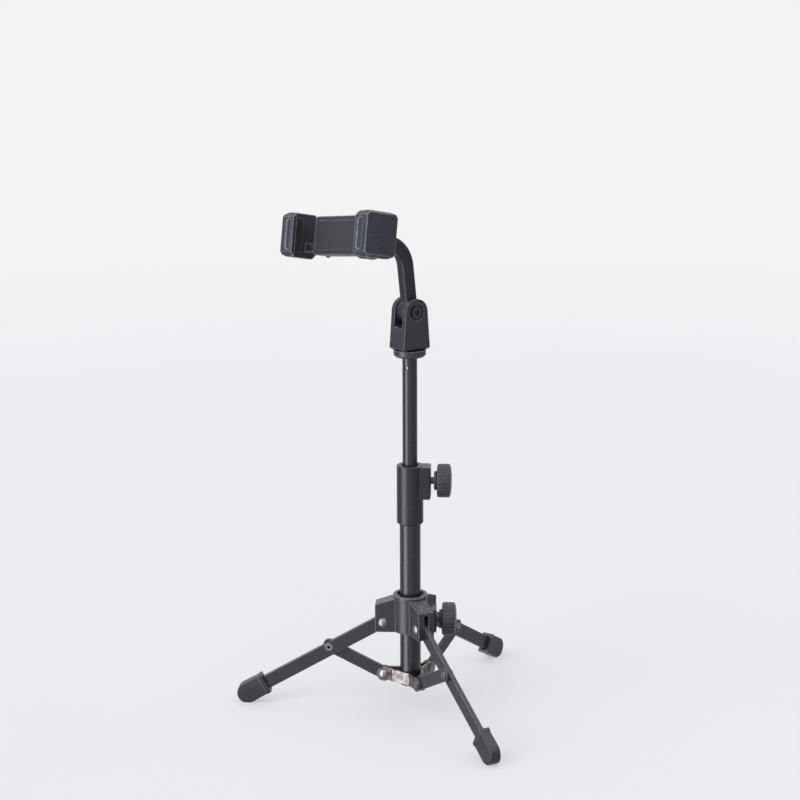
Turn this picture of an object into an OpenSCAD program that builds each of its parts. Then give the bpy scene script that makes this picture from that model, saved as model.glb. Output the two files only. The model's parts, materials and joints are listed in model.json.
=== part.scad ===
// Desktop microphone stand: a folding three-legged foot, a telescopic pole,
// a tilting bent arm and a two-jaw device clamp on a ball joint.
// +Z is up and the pole stands on the Z axis, with the floor at z = 0.

/* [Legs] */
// Leg length, from hub pivot to the centre of the foot's round end
leg_len = 113.2; // [100:0.2:140]
// Angle between an open leg and the pole
leg_tilt = 60.4; // [54:0.2:63]
// Depth of the leg bar
leg_depth = 9.8; // [8:0.2:11]
// Thickness of the leg bar
leg_t = 3; // [2.4:0.2:4]
// Distance of the hub and spider pivots from the face of the hub barrel
pivot_out = 7; // [6.5:0.1:9]
// Length of a brace, and distance from hub pivot to brace pivot
link_len = 44.3; // [38:0.1:50]
// Height of the brace pivot above the middle of the leg bar
link_lift = 1.7; // [0.5:0.1:1.9]
// Depth of the brace strip
brace_depth = 9.2; // [8:0.2:9.6]
// Thickness of the brace strip
brace_t = 2; // [1.4:0.1:2.4]
// Length of the rubber foot along the leg
foot_len = 23; // [16:0.5:30]
// Radius of the rubber foot's round end
foot_r = 7.5; // [6.5:0.1:9]
// Thickness of the rubber foot across the leg
foot_t = 7.6; // [6.6:0.1:9]
// Depth of the flat on which the rubber foot stands
foot_flat = 0.4; // [0.2:0.1:1]

/* [Pole] */
// Outer diameter of the upper tube
up_d = 10.4; // [9.4:0.1:12.6]
// Wall of the upper tube
up_wall = 1; // [0.8:0.1:1.5]
// Wall of the bush that guides the upper tube in the lower one
bush_wall = 0.94; // [0.7:0.02:1.4]
// Wall of the lower tube
low_wall = 1.2; // [0.8:0.1:1.6]
// Height of the height collar's top above the floor
collar_top_z = 177.6; // [174:0.2:200]
// Length of the height collar
collar_len = 42.3; // [36:0.1:44]
// Wall of the height collar
collar_wall = 1.95; // [1.6:0.05:3]
// Length of lower tube held in the collar
collar_grip = 19; // [14:0.5:20]
// Upper tube showing above the collar
up_shown = 77.2; // [60:0.2:110]
// Upper tube hidden below the top of the collar
up_hidden = 78; // [60:0.5:95]

/* [Hub] */
// Wall of the hub barrel
hub_wall = 4.3; // [4:0.1:5]
// Height of the hub barrel
hub_h = 27; // [24:0.2:29]
// Depth of the hub barrel below the leg pivots
hub_below = 6.6; // [6:0.1:8]
// Length of a lug beyond its pivot
lug_end = 5.8; // [5.5:0.1:8]
// Width of a lug
lug_w = 12; // [10:0.2:13]

/* [Knobs] */
// Diameter of a locking knob
knob_d = 23.6; // [20:0.2:26]
// Width of a locking knob
knob_w = 9; // [8:0.2:12]
// Thread diameter of a locking screw
screw_d = 5; // [4:0.1:5.4]
// Number of grip ribs round a knob
knob_ribs = 24; // [16:1:30]

/* [Clevis and arm] */
// Width of the clevis at its foot, in the arm's plane
clevis_w = 22.4; // [20:0.2:27]
// Height from the foot of the clevis to its tilt pivot
clevis_rise = 26.5; // [25:0.1:30]
// Radius of the clevis ears
ear_r = 9.2; // [8.6:0.1:9.8]
// Thickness of a clevis ear
ear_t = 3.58; // [3:0.02:5]
// Thickness of the arm between the ears
arm_t = 8.2; // [6.8:0.2:10]
// Depth of the arm in its own plane
arm_depth = 9.4; // [8:0.2:11]
// Forward lean of the arm's straight foot
arm_lean = 6.5; // [0:0.5:12]
// Length of the arm's straight foot
arm_rise = 32; // [28:0.5:45]
// Bend radius of the arm's middle line
arm_bend_r = 20; // [16:0.5:30]
// Direction in which the arm reaches, round the pole
arm_az = 220; // [180:1:260]

/* [Clamp] */
// Gap between the jaws, which is the width of the device held
jaw_gap = 78.1; // [74:0.1:82]
// Thickness of the device held, from its back rest to the jaw lips
slot_t = 8; // [7.6:0.1:11]
// Height of a jaw
jaw_h = 30; // [26:0.5:34]
// Backward tilt of the clamp
clamp_tilt = 11.1; // [0:0.5:20]
// Roll of the clamp about its ball joint
clamp_roll = 6.6; // [0:0.2:10]
// Width of the clamp housing
house_w = 54; // [50:0.5:56]
// Height of the clamp housing
house_h = 26; // [25:0.5:30]
// Depth of the clamp housing
house_t = 10; // [9.6:0.2:12]
// Diameter of the ball of the ball joint
ball_d = 13; // [12:0.1:14]

/* [Hidden] */

// Colours
black_steel = [0.16, 0.16, 0.17];
black_plastic = [0.13, 0.13, 0.14];
soft_black = [0.09, 0.09, 0.09];
bright = [0.78, 0.77, 0.74];
warm_steel = [0.62, 0.56, 0.5];
brass = [0.78, 0.64, 0.35];

// Fineness of round faces
$fn = 64;
// Overrun that makes a cut pass a face
e = 0.5;
// Running fit, on the radius, of pins, screws and slides
fit = 0.06;
// Side gap between neighbours that move past each other
gap = 0.3;

// Directions of the three legs
az_left = 180;
az_front = 300;
az_rear = 60;
az_all = [az_left, az_front, az_rear];

// Pole and hub diameters, from the upper tube outwards
low_d = up_d + 2 * (bush_wall + fit + low_wall);
collar_d = low_d + 2 * collar_wall;
hub_bore = low_d + 2 * gap;
hub_d = hub_bore + 2 * hub_wall;
pivot_r = hub_d / 2 + pivot_out;
lug_r = pivot_r + lug_end;

// Leg linkage: the leg's slope, and its pivots in the plane through the pole
leg_slope = 90 - leg_tilt;
hub_z = foot_r - foot_flat + leg_len * cos(leg_tilt);
link_tilt = leg_tilt + asin(link_lift / link_len);
link_along = sqrt(pow(link_len, 2) - pow(link_lift, 2));
spider_z = hub_z - 2 * link_len * cos(link_tilt);

// Rivets of the linkage
rivet_d = 3.2;
rivet_head_d = 7;
rivet_head_h = 1.5;
eyelet_d = 5.8;
eyelet_h = 0.7;
eyelet_hole = 2.2;
brace_y = -leg_t / 2 - gap - brace_t / 2;

// Pressed steel spider
strip_t = 1.5;
strip_mid_h = 8.8;
strip_seat = 0.02;
strip_spot_d = 5;
ear_d = 10.2;
ear_half = strip_t / 2 + 0.05;
strip_outer_y = brace_y - brace_t / 2 - gap;
strip_inner_y = brace_y + brace_t / 2 + gap;

// Plan position of a point r out along the leg at azimuth az and y anticlockwise of it
function plan_point(az, r, y) = [r * cos(az) - y * sin(az), r * sin(az) + y * cos(az)];

// Direction from p to q, and a bent strip's corner, h to the left of point i of its path
function along(p, q) = (q - p) / norm(q - p);
function strip_corner(path, i, h) = let (
  before = max(i, 1), after = min(i, len(path) - 2),
  p = along(path[before - 1], path[before]), q = along(path[after], path[after + 1])
) path[i] + h * [-p.y - q.y, p.x + q.x] / (1 + p * q);

// Outline of a bent strip of thickness t
function strip_outline(path, t) = concat(
  [for (i = [0 : len(path) - 1]) strip_corner(path, i, t / 2)],
  [for (i = [len(path) - 1 : -1 : 0]) strip_corner(path, i, -t / 2)]
);

// Heel stop of a leg on its hub lug
slot_gap = 0.3;
heel = 9.5;
stop_gap = 0.3;
heel_r = pivot_r - heel * cos(leg_slope) + leg_depth / 2 * sin(leg_slope);
stop_r = heel_r - stop_gap;
heel_swing = sqrt(pow(heel, 2) + pow(leg_depth / 2, 2));
slot_roof = heel_swing + gap;
heel_drop = heel * sin(leg_slope) + leg_depth / 2 * cos(leg_slope);

// Hub heights, measured from its pivots
hub_top = hub_h - hub_below;
lug_inner_top = 17.6;
lug_outer_top = slot_roof + 2.2;
lug_below = hub_below + 0.2;
hub_mouth_d = hub_bore + 3.6;
hub_mouth_depth = 2.4;

// Locking screws: both lie along +X
flange_d = 13.4;
flange_w = 2.2;
knob_edge = 1.2;
knob_crown = 1.2;
rib_d = 1.6;
hub_boss_r = hub_d / 2 + 6.6;
hub_boss_w = 12;
hub_boss_h = 17;
hub_stem = 1.9;
hub_knob_z = hub_z + 1.9;
collar_boss_r = collar_d / 2 + 5.25;
collar_boss_w = 13;
collar_boss_h = 23.5;
height_knob_z = collar_top_z - 11.2;
collar_stem = 2.3;
pad_d = 4.6;
pad_t = 1.4;
insert_d = 8;
insert_len = 4.6;
pad_touch = 0.05;
pad_clear = 0.2;

// Pole heights
low_bottom = spider_z - strip_mid_h / 2 - 0.5;
collar_bottom = collar_top_z - collar_len;
low_top = collar_bottom + collar_grip;
plug_h = 9;
plug_cap = 1.2;
bush_h = 9;
collar_bore = up_d + 1.8;
up_bottom = collar_top_z - up_hidden;
ring_bottom = collar_top_z + up_shown;
ring_h = 4.9;
ring_d = 22.6;
ring_edge = 1.4;
tube_in_ring = 3.4;
stud_d = 9.5;
stud_in = 16;
stud_out = 10.5;
vent_d = 2.2;
vent_below = 7.4;
vent_az = 244;

// Clevis heights, measured from its foot
clevis_z = ring_bottom + ring_h + gap;
pivot_z = clevis_z + clevis_rise;
boss_d = 17.2;
yoke_floor = clevis_rise - boss_d / 2 - 1.9;
washer_t = 0.5;
washer_d = 14;
washer_gap = 0.06;
slot_w = arm_t + 2 * washer_t + 4 * washer_gap;
ears_w = slot_w + 2 * ear_t;
bolt_d = 5;
bolt_head_d = 8.4;
bolt_head_t = 2.4;
bolt_well_d = 11.6;
bolt_sink = 2;
hex_key = 4;
nut_w = 8;
nut_t = 3.4;
nut_sink = 1.6;
insert_wall = 1.7;
insert_top = 11;
arm_bush_d = 8;
groove_w = 3.4;
groove_deep = 0.5;

// Clamp frame: x towards the user, y to the right of the device, z up the device
reach = 64.4;
rest_x = -slot_t / 2;
rest_pad_t = 1.5;
front_t = 2.4;
back_t = 2;
house_front = rest_x - rest_pad_t;
house_back = house_front - house_t;
house_split = house_front - 6;
house_round = 3;
ball_x = house_back - 11;
socket_d = ball_d + 6;
socket_back = ball_x - 3.6;
ring_nut_d = 26.4;
ring_nut_front = ball_x + 0.8;
ring_nut_back = ball_x - 11.2;
ring_nut_mouth = 9.6;
neck_d = 7;
neck_root_d = 5;
neck_root_len = 5.5;
arm_end_x = ring_nut_back - 1.4;

// Arm path in its plane, from the tilt pivot to the ball joint
arm_turn = 90 - arm_lean - clamp_tilt;
bend_s = arm_rise * sin(arm_lean);
bend_z = pivot_z + arm_rise * cos(arm_lean);
bend_end_s = bend_s + arm_bend_r * (cos(arm_lean) - sin(clamp_tilt));
bend_end_z = bend_z + arm_bend_r * (cos(clamp_tilt) - sin(arm_lean));
arm_run = (reach - bend_end_s) / cos(clamp_tilt) + arm_end_x;
clamp_z = bend_end_z + (arm_run - arm_end_x) * sin(clamp_tilt);
bend_steps = 20;

// Points of the arm's plane: on the foot and tip, and round the bend, h outside the middle line
function arm_foot(h) = [-h * cos(arm_lean), pivot_z + h * sin(arm_lean)];
function arm_tip(h) = [
  bend_end_s + arm_run * cos(clamp_tilt) - h * sin(clamp_tilt),
  bend_end_z + arm_run * sin(clamp_tilt) + h * cos(clamp_tilt)
];
function arm_bend(h, i) = let (a = 180 - arm_lean - arm_turn * i / bend_steps) [
  bend_s + arm_bend_r * cos(arm_lean) + (arm_bend_r + h) * cos(a),
  bend_z - arm_bend_r * sin(arm_lean) + (arm_bend_r + h) * sin(a)
];

// Outline of a strip that follows the arm, from h0 to h1 outside its middle line
function arm_band(h0, h1) = concat(
  [arm_foot(h0), arm_foot(h1)], [for (i = [0 : bend_steps]) arm_bend(h1, i)],
  [arm_tip(h1), arm_tip(h0)], [for (i = [bend_steps : -1 : 0]) arm_bend(h0, i)]
);

// Jaws
jaw_side_t = 10.6;
jaw_pad_t = 1.4;
jaw_back_x = -17.5;
jaw_bow = 1.4;
jaw_edge = 1.6;
lip_over = 3.6;
lip_t = 3;
jaw_in = jaw_gap / 2;
jaw_out = jaw_in + jaw_side_t;
jaw_front_x = slot_t / 2 + lip_t;
lip_oval_w = 5.6;
lip_oval_h = 21;
lip_oval_deep = 0.8;

// Rack drive that keeps the jaws level with each other
pinion_r = 4;
pinion_teeth = 12;
tooth_pitch = 2 * PI * pinion_r / pinion_teeth;
tooth_up = 0.65;
tooth_down = 0.85;
tooth_tip_w = 0.4;
tooth_root_w = 1.1;
rack_t = 3.4;
rack_h = 5.8;
rack_tail = 12;
rack_teeth = 11;
rack_x = house_front - front_t - gap - rack_t / 2;
rack_z = pinion_r + tooth_down;
cavity_h = 2 * (rack_z + rack_h + gap);
pinion_pin_d = 3;
case_screw_d = 2.2;
case_screw_head = 4;
case_screw_y = house_w / 2 - 5;
case_screw_z = (house_h + cavity_h) / 4;
leaf_t = 0.4;
wall_end = 2;
leaf_half = 15;

// Placing helpers ------------------------------------------------------------

// Puts a child, drawn outwards along +X, on the leg at azimuth az
module at_leg(az) rotate([0, 0, az]) children();

// Puts a child, drawn along the leg from its hub pivot, in place
module on_leg(az) at_leg(az) translate([pivot_r, 0, hub_z]) rotate([0, leg_slope, 0]) children();

// Puts a child, drawn in the arm's plane with +X forward, in place
module at_arm() rotate([0, 0, arm_az]) children();

// Puts a child, drawn in the clamp frame, in place
module in_clamp() at_arm() translate([reach, 0, clamp_z])
  rotate([0, -clamp_tilt, 0]) rotate([clamp_roll, 0, 0]) children();

// Stands a flat outline up in the X-Z plane, with thickness t round y
module upright(t, y = 0)
  translate([0, y, 0]) rotate([90, 0, 0]) linear_extrude(t, center = true) children();

// Lays an outline drawn in y and z across the X axis, between x0 and x1
module across(x0, x1)
  translate([x0, 0, 0]) rotate([90, 0, 90]) linear_extrude(x1 - x0) children();

// A cylinder along Y between y0 and y1
module rod_y(d, y0, y1) translate([0, y1, 0]) rotate([90, 0, 0]) cylinder(d = d, h = y1 - y0);

// A cylinder along X between x0 and x1
module rod_x(d, x0, x1) translate([x0, 0, 0]) rotate([0, 90, 0]) cylinder(d = d, h = x1 - x0);

// A rectangle with round corners, centred
module round_rect(w, h, r) {
  square([w - 2 * r, h], center = true);
  square([w, h - 2 * r], center = true);
  for (sx = [-1, 1], sy = [-1, 1])
    translate([sx * (w / 2 - r), sy * (h / 2 - r)]) circle(r, $fn = 32);
}

// A shallow dome of diameter d and height h, standing on z = 0
module dome(d, h) {
  r = (d * d / 4 + h * h) / (2 * h);
  rotate_extrude() intersection() {
    translate([0, h - r]) circle(r);
    square([d, h]);
  }
}

// A domed rivet head on the face at y, pointing along side
module rivet_head(y, side)
  translate([0, y, 0]) rotate([-90 * side, 0, 0]) dome(rivet_head_d, rivet_head_h);

// Pole -----------------------------------------------------------------------

module lower_tube() color(black_steel) difference() {
  translate([0, 0, low_bottom]) cylinder(d = low_d, h = low_top - low_bottom);
  translate([0, 0, low_bottom - e]) cylinder(d = low_d - 2 * low_wall, h = low_top - low_bottom + 2 * e);
}

module tube_plug() color(soft_black) {
  translate([0, 0, low_bottom - plug_cap]) cylinder(d = low_d, h = plug_cap);
  translate([0, 0, low_bottom]) cylinder(d = low_d - 2 * low_wall, h = plug_h);
}

module height_collar() color(black_plastic) difference() {
  edge = 1;
  union() {
    translate([0, 0, collar_bottom]) cylinder(d1 = collar_d - 2 * edge, d2 = collar_d, h = edge);
    translate([0, 0, collar_bottom + edge]) cylinder(d = collar_d, h = collar_len - 1.5 * edge);
    translate([0, 0, collar_top_z - edge / 2])
      cylinder(d1 = collar_d, d2 = collar_d - edge, h = edge / 2);
    intersection() {
      translate([0, 0, collar_top_z - collar_boss_h]) linear_extrude(collar_boss_h - edge / 2)
        translate([collar_boss_r / 2, 0]) round_rect(collar_boss_r, collar_boss_w, edge);
      upright(collar_boss_w) translate([0, collar_top_z - (collar_boss_h + edge / 2) / 2])
        round_rect(2 * collar_boss_r, collar_boss_h - edge / 2, 1.4 * edge);
    }
  }
  translate([0, 0, collar_bottom - e]) cylinder(d = low_d, h = collar_grip + e);
  translate([0, 0, collar_bottom]) cylinder(d = collar_bore, h = collar_len + e);
  translate([0, 0, height_knob_z]) {
    rod_x(pad_d + 2 * pad_clear, 0, collar_boss_r - 2);
    rod_x(screw_d + 2 * pad_clear, 0, collar_boss_r + e);
    rod_x(insert_d, collar_boss_r - 1.2 - insert_len, collar_boss_r - 1.2);
  }
}

module collar_bush() color(soft_black) difference() {
  translate([0, 0, low_top]) cylinder(d = collar_bore, h = collar_top_z - 1.2 - low_top);
  translate([0, 0, low_top - e]) cylinder(d = up_d + 2 * fit, h = collar_len);
  translate([0, 0, height_knob_z]) rod_x(pad_d + 2 * pad_clear, 0, collar_d);
}

// Brass nut moulded into a boss, with its outer face at x
module screw_insert(x, z) color(brass) translate([0, 0, z]) difference() {
  rod_x(insert_d, x - insert_len, x);
  rod_x(screw_d + 2 * fit, x - insert_len - e, x + e);
}

module collar_insert() screw_insert(collar_boss_r - 1.2, height_knob_z);

// Friction pad between a locking screw and the tube of diameter d
module lock_pad(d, z) color(brass)
  translate([0, 0, z]) rod_x(pad_d, d / 2 + pad_touch, d / 2 + pad_touch + pad_t);

// Black steel screw from its pad on the tube of diameter d to inside the knob whose flange starts at x
module lock_screw(d, x, z) color(black_steel)
  translate([0, 0, z]) rod_x(screw_d, d / 2 + pad_touch + pad_t, x + flange_w + knob_w / 2);

// Ribbed knob with its flange starting at x
module lock_knob(x, z) color(black_plastic) translate([x, 0, z]) difference() {
  rim = knob_d / 2 - rib_d / 4;
  union() {
    rod_x(flange_d, 0, flange_w);
    translate([flange_w, 0, 0]) rotate([0, 90, 0]) {
      cylinder(r1 = rim - knob_edge, r2 = rim, h = knob_edge);
      translate([0, 0, knob_edge]) cylinder(r = rim, h = knob_w - 2 * knob_edge);
      translate([0, 0, knob_w - knob_edge]) cylinder(r1 = rim, r2 = rim - knob_edge, h = knob_edge);
      translate([0, 0, knob_w]) dome(2 * (rim - knob_edge), knob_crown);
      for (i = [0 : knob_ribs - 1]) rotate([0, 0, i * 360 / knob_ribs])
        translate([rim - rib_d / 4, 0, knob_edge])
          cylinder(d = rib_d, h = knob_w - 2 * knob_edge, $fn = 16);
    }
  }
  rod_x(screw_d, -e, flange_w + knob_w / 2);
}

module height_pad() lock_pad(up_d, height_knob_z);
module height_screw() lock_screw(up_d, collar_boss_r + collar_stem, height_knob_z);
module height_knob() lock_knob(collar_boss_r + collar_stem, height_knob_z);

module upper_tube() color(black_steel) difference() {
  tube_h = ring_bottom + tube_in_ring - up_bottom;
  translate([0, 0, up_bottom]) cylinder(d = up_d, h = tube_h);
  translate([0, 0, up_bottom - e]) cylinder(d = up_d - 2 * up_wall, h = tube_h + 2 * e);
  rotate([0, 0, vent_az]) translate([0, 0, ring_bottom - vent_below]) rod_x(vent_d, up_d / 4, up_d);
}

module slide_bush() color(soft_black) translate([0, 0, up_bottom]) difference() {
  cylinder(d = up_d + 2 * bush_wall, h = bush_h);
  translate([0, 0, -e]) cylinder(d = up_d, h = bush_h + 2 * e);
}

module pole_ring() color(black_plastic) translate([0, 0, ring_bottom]) difference() {
  union() {
    cylinder(d1 = ring_d - 2 * ring_edge, d2 = ring_d, h = ring_edge);
    translate([0, 0, ring_edge]) cylinder(d = ring_d, h = ring_h - ring_edge);
  }
  translate([0, 0, -e]) cylinder(d = up_d, h = tube_in_ring + e);
  cylinder(d = stud_d, h = ring_h + e);
}

module top_stud() color(bright) {
  tube_top = ring_bottom + tube_in_ring;
  translate([0, 0, tube_top - stud_in]) cylinder(d = up_d - 2 * up_wall, h = stud_in);
  translate([0, 0, tube_top]) cylinder(d = stud_d, h = ring_h - tube_in_ring + stud_out);
}

// Tripod ---------------------------------------------------------------------

// Flat bar of a leg: its square-cut heel stops against the hub when the leg is open
module leg(az) color(black_steel) on_leg(az) upright(leg_t) difference() {
  reach_back = pivot_r - heel_r;
  intersection() {
    translate([-2 * heel, -leg_depth / 2]) square([leg_len + 2 * heel, leg_depth]);
    union() {
      circle(reach_back);
      polygon([
        [0, leg_depth / 2], [-heel, leg_depth / 2],
        [-heel + heel_drop * sin(leg_slope), leg_depth / 2 - heel_drop * cos(leg_slope)], [0, 0]
      ]);
      translate([0, -leg_depth / 2]) square([leg_len, leg_depth]);
    }
  }
  circle(d = rivet_d + 2 * fit);
  translate([link_along, link_lift]) circle(d = rivet_d);
}

// Flat strip with two round ends, on the clockwise side of its leg
module brace(az) color(black_steel) at_leg(az) translate([pivot_r, 0, spider_z])
  rotate([0, link_tilt - 90, 0]) upright(brace_t, brace_y) difference() {
    union() {
      translate([0, -brace_depth / 2]) square([link_len, brace_depth]);
      for (x = [0, link_len]) translate([x, 0]) circle(d = brace_depth);
    }
    for (x = [0, link_len]) translate([x, 0]) circle(d = rivet_d + 2 * fit);
  }

// Hollow rivet that holds a leg and its brace
module brace_rivet(az) color(bright) on_leg(az) translate([link_along, 0, link_lift]) difference() {
  brace_face = brace_y - brace_t / 2;
  union() {
    rod_y(rivet_d, brace_face - eyelet_h, leg_t / 2 + eyelet_h);
    rod_y(eyelet_d, leg_t / 2, leg_t / 2 + eyelet_h);
    rod_y(eyelet_d, brace_face - eyelet_h, brace_face);
  }
  rod_y(eyelet_hole, -leg_t, leg_t);
}

// Rubber cap with a round end that meets the floor
module foot(az) color(soft_black) difference() {
  on_leg(az) union() {
    upright(foot_t) {
      translate([leg_len - foot_len + foot_r, -foot_r + 0.4]) square([foot_len - foot_r, 2 * foot_r - 0.8]);
      translate([leg_len, 0]) circle(foot_r);
    }
    upright(foot_t + 0.8) translate([leg_len - foot_len + foot_r, -foot_r]) square([3, 2 * foot_r]);
  }
  on_leg(az) upright(leg_t) translate([0, -leg_depth / 2]) square([leg_len, leg_depth]);
  translate([0, 0, -foot_r]) cylinder(r = 2 * leg_len, h = foot_r);
}

// Pressed steel strip from the leg at az to the next leg, anticlockwise, drawn as from az = 0
module spider_strip(az) color(warm_steel) at_leg(az) {
  near_y = strip_inner_y + strip_t / 2;
  far_y = strip_outer_y - strip_t / 2;
  touch = low_d / 2 + strip_t / 2 + strip_seat;
  far_r = (touch + far_y * cos(30)) / sin(30);
  near_r = pivot_r - rivet_head_d / 2 - 1.1;
  bends = [
    plan_point(0, pivot_r, near_y), plan_point(0, near_r, near_y),
    plan_point(60, touch, -near_r * cos(30) + 2.8),
    plan_point(120, far_r, far_y), plan_point(120, pivot_r, far_y)
  ];
  difference() {
    union() {
      translate([0, 0, spider_z - strip_mid_h / 2]) linear_extrude(strip_mid_h)
        polygon(strip_outline(bends, strip_t));
      for (end = [[0, near_y], [120, far_y]]) rotate([0, 0, end[0]])
        translate([pivot_r, 0, spider_z]) rod_y(ear_d, end[1] - ear_half, end[1] + ear_half);
      for (spot = [-4, 3.5]) rotate([0, 0, 60]) translate([0, spot, spider_z])
        rod_x(strip_spot_d, touch, touch + strip_t / 2 + 0.5);
    }
    for (end = [[0, near_y], [120, far_y]]) rotate([0, 0, end[0]])
      translate([pivot_r, 0, spider_z]) rod_y(rivet_d, end[1] - strip_t, end[1] + strip_t);
  }
}

// Three rivets that pin the braces between the spider's ears
module spider_rivets() color(bright) for (az = az_all) at_leg(az) translate([pivot_r, 0, spider_z]) {
  low_face = strip_outer_y - strip_t / 2 - ear_half;
  high_face = strip_inner_y + strip_t / 2 + ear_half;
  rod_y(rivet_d, low_face, high_face);
  rivet_head(high_face, 1);
  rod_y(eyelet_d, low_face - eyelet_h, low_face);
}

// Sliding hub with three slotted lugs and a boss for its locking screw
module tripod_hub() color(black_plastic) translate([0, 0, hub_z]) difference() {
  lip = 0.4;
  slope = atan((lug_inner_top - lug_outer_top) / (lug_r - hub_d / 2));
  union() {
    translate([0, 0, -hub_below]) cylinder(d = hub_d, h = hub_h);
    translate([0, 0, hub_top - 3]) cylinder(d = hub_d + 2 * lip, h = 2.2);
    translate([0, 0, hub_top - 0.8]) cylinder(d1 = hub_d + 2 * lip, d2 = hub_d - 0.8, h = 0.8);
    for (az = az_all) at_leg(az) upright(lug_w) polygon([
      [0, -lug_below], [lug_r, -lug_below], [lug_r, lug_outer_top],
      [hub_d / 2, lug_inner_top], [0, lug_inner_top]
    ]);
    translate([0, 0, hub_knob_z - hub_z - hub_boss_h / 2]) linear_extrude(hub_boss_h)
      translate([hub_boss_r / 2, 0]) round_rect(hub_boss_r, hub_boss_w, 1);
  }
  translate([0, 0, -hub_below - e]) cylinder(d = hub_bore, h = hub_h + 2 * e);
  translate([0, 0, hub_top - hub_mouth_depth]) cylinder(d = hub_mouth_d, h = hub_mouth_depth + e);
  for (az = az_all) at_leg(az) {
    upright(leg_t + 2 * slot_gap) translate([stop_r, -2 * hub_below])
      square([lug_r, slot_roof + 2 * hub_below]);
    translate([pivot_r, 0, 0]) rod_y(rivet_d, -lug_w, lug_w);
    for (y = [-3.6, -1.2, 1.2, 3.6]) upright(0.9, y) polygon([
      [hub_d / 2 + 1, lug_inner_top - tan(slope) - 0.6], [lug_r + e, lug_outer_top - tan(slope) * e - 0.6],
      [lug_r + e, lug_inner_top], [hub_d / 2 + 1, lug_inner_top]
    ]);
  }
  translate([0, 0, hub_knob_z - hub_z]) {
    rod_x(pad_d + 2 * pad_clear, 0, hub_boss_r - 3);
    rod_x(screw_d + 2 * pad_clear, 0, hub_boss_r + e);
    rod_x(insert_d, hub_boss_r - 1.6 - insert_len, hub_boss_r - 1.6);
  }
}

// Domed rivets that carry the legs in the hub
module hub_rivets() color(bright) for (az = az_all) at_leg(az) translate([pivot_r, 0, hub_z]) {
  rod_y(rivet_d, -lug_w / 2, lug_w / 2);
  for (side = [-1, 1]) rivet_head(side * lug_w / 2, side);
}

module hub_insert() screw_insert(hub_boss_r - 1.6, hub_knob_z);
module hub_pad() lock_pad(low_d, hub_knob_z);
module hub_screw() lock_screw(low_d, hub_boss_r + hub_stem, hub_knob_z);
module hub_knob() lock_knob(hub_boss_r + hub_stem, hub_knob_z);

// Clevis and arm -------------------------------------------------------------

module clevis() color(black_plastic) at_arm() difference() {
  edge = 1.2;
  intersection() {
    union() {
      upright(ears_w) polygon([
        [edge - clevis_w / 2, clevis_z], [clevis_w / 2 - edge, clevis_z],
        [clevis_w / 2, clevis_z + edge], [ear_r, pivot_z], [-ear_r, pivot_z], [-clevis_w / 2, clevis_z + edge]
      ]);
      translate([0, 0, pivot_z]) rod_y(2 * ear_r, -ears_w / 2, ears_w / 2);
    }
    across(-clevis_w, clevis_w) polygon([
      [edge - ears_w / 2, clevis_z], [ears_w / 2 - edge, clevis_z], [ears_w / 2, clevis_z + edge],
      [ears_w / 2, pivot_z + ear_r + e], [-ears_w / 2, pivot_z + ear_r + e], [-ears_w / 2, clevis_z + edge]
    ]);
  }
  translate([-clevis_w, -slot_w / 2, clevis_z + yoke_floor]) cube([2 * clevis_w, slot_w, clevis_rise]);
  translate([0, 0, clevis_z - e]) cylinder(d = stud_d + 2 * insert_wall, h = insert_top + e);
  translate([0, 0, pivot_z]) {
    rod_y(bolt_d + 2 * fit, -ears_w, ears_w);
    rod_y(bolt_well_d, ears_w / 2 - bolt_sink, ears_w);
    rod_y(nut_w / cos(30) + 0.6, -ears_w, -ears_w / 2 + nut_sink);
  }
}

module clevis_insert() color(brass) translate([0, 0, clevis_z]) difference() {
  cylinder(d = stud_d + 2 * insert_wall, h = insert_top);
  translate([0, 0, -e]) cylinder(d = stud_d + 2 * fit, h = insert_top + 2 * e);
}

// Socket-headed bolt through both ears and the arm
module tilt_bolt() color(black_steel) at_arm() translate([0, 0, pivot_z]) difference() {
  head = ears_w / 2 - bolt_sink;
  union() {
    rod_y(bolt_d, -ears_w / 2 + nut_sink - nut_t - 0.6, head);
    rod_y(bolt_head_d, head, head + bolt_head_t);
  }
  translate([0, head + bolt_head_t + e, 0]) rotate([90, 0, 0])
    cylinder(d = hex_key / cos(30), h = 1.8 + e, $fn = 6);
}

module tilt_nut() color(black_steel) at_arm() translate([0, -ears_w / 2 + nut_sink, pivot_z]) difference() {
  rotate([90, 0, 0]) cylinder(d = nut_w / cos(30), h = nut_t, $fn = 6);
  rod_y(bolt_d, -nut_t - e, e);
}

module tilt_washers() color(bright) at_arm() translate([0, 0, pivot_z])
  for (side = [-1, 1]) translate([0, side * (arm_t / 2 + washer_gap + washer_t / 2), 0]) difference() {
    rod_y(washer_d, -washer_t / 2, washer_t / 2);
    rod_y(bolt_d + 2 * fit, -washer_t, washer_t);
  }

// Arm: a bent bar with a shallow channel along each side
module arm() color(black_plastic) at_arm() difference() {
  union() {
    difference() {
      upright(arm_t) polygon(arm_band(-arm_depth / 2, arm_depth / 2));
      for (side = [-1, 1])
        upright(2 * groove_deep, side * arm_t / 2) polygon(arm_band(-groove_w / 2, groove_w / 2));
    }
    translate([0, 0, pivot_z]) rod_y(boss_d, -arm_t / 2, arm_t / 2);
  }
  translate([0, 0, pivot_z]) rod_y(arm_bush_d, -arm_t, arm_t);
  translate([reach, 0, clamp_z]) rotate([0, -clamp_tilt, 0])
    rod_x(neck_root_d, arm_end_x - neck_root_len, arm_end_x + e);
}

module arm_bush() color(brass) at_arm() translate([0, 0, pivot_z]) difference() {
  rod_y(arm_bush_d, -arm_t / 2, arm_t / 2);
  rod_y(bolt_d + 2 * fit, -arm_t, arm_t);
}

module ball_stud() color(bright) in_clamp() {
  rod_x(neck_root_d, arm_end_x - neck_root_len, arm_end_x);
  rod_x(neck_d, arm_end_x, ball_x);
  translate([ball_x, 0, 0]) sphere(d = ball_d);
}

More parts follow.
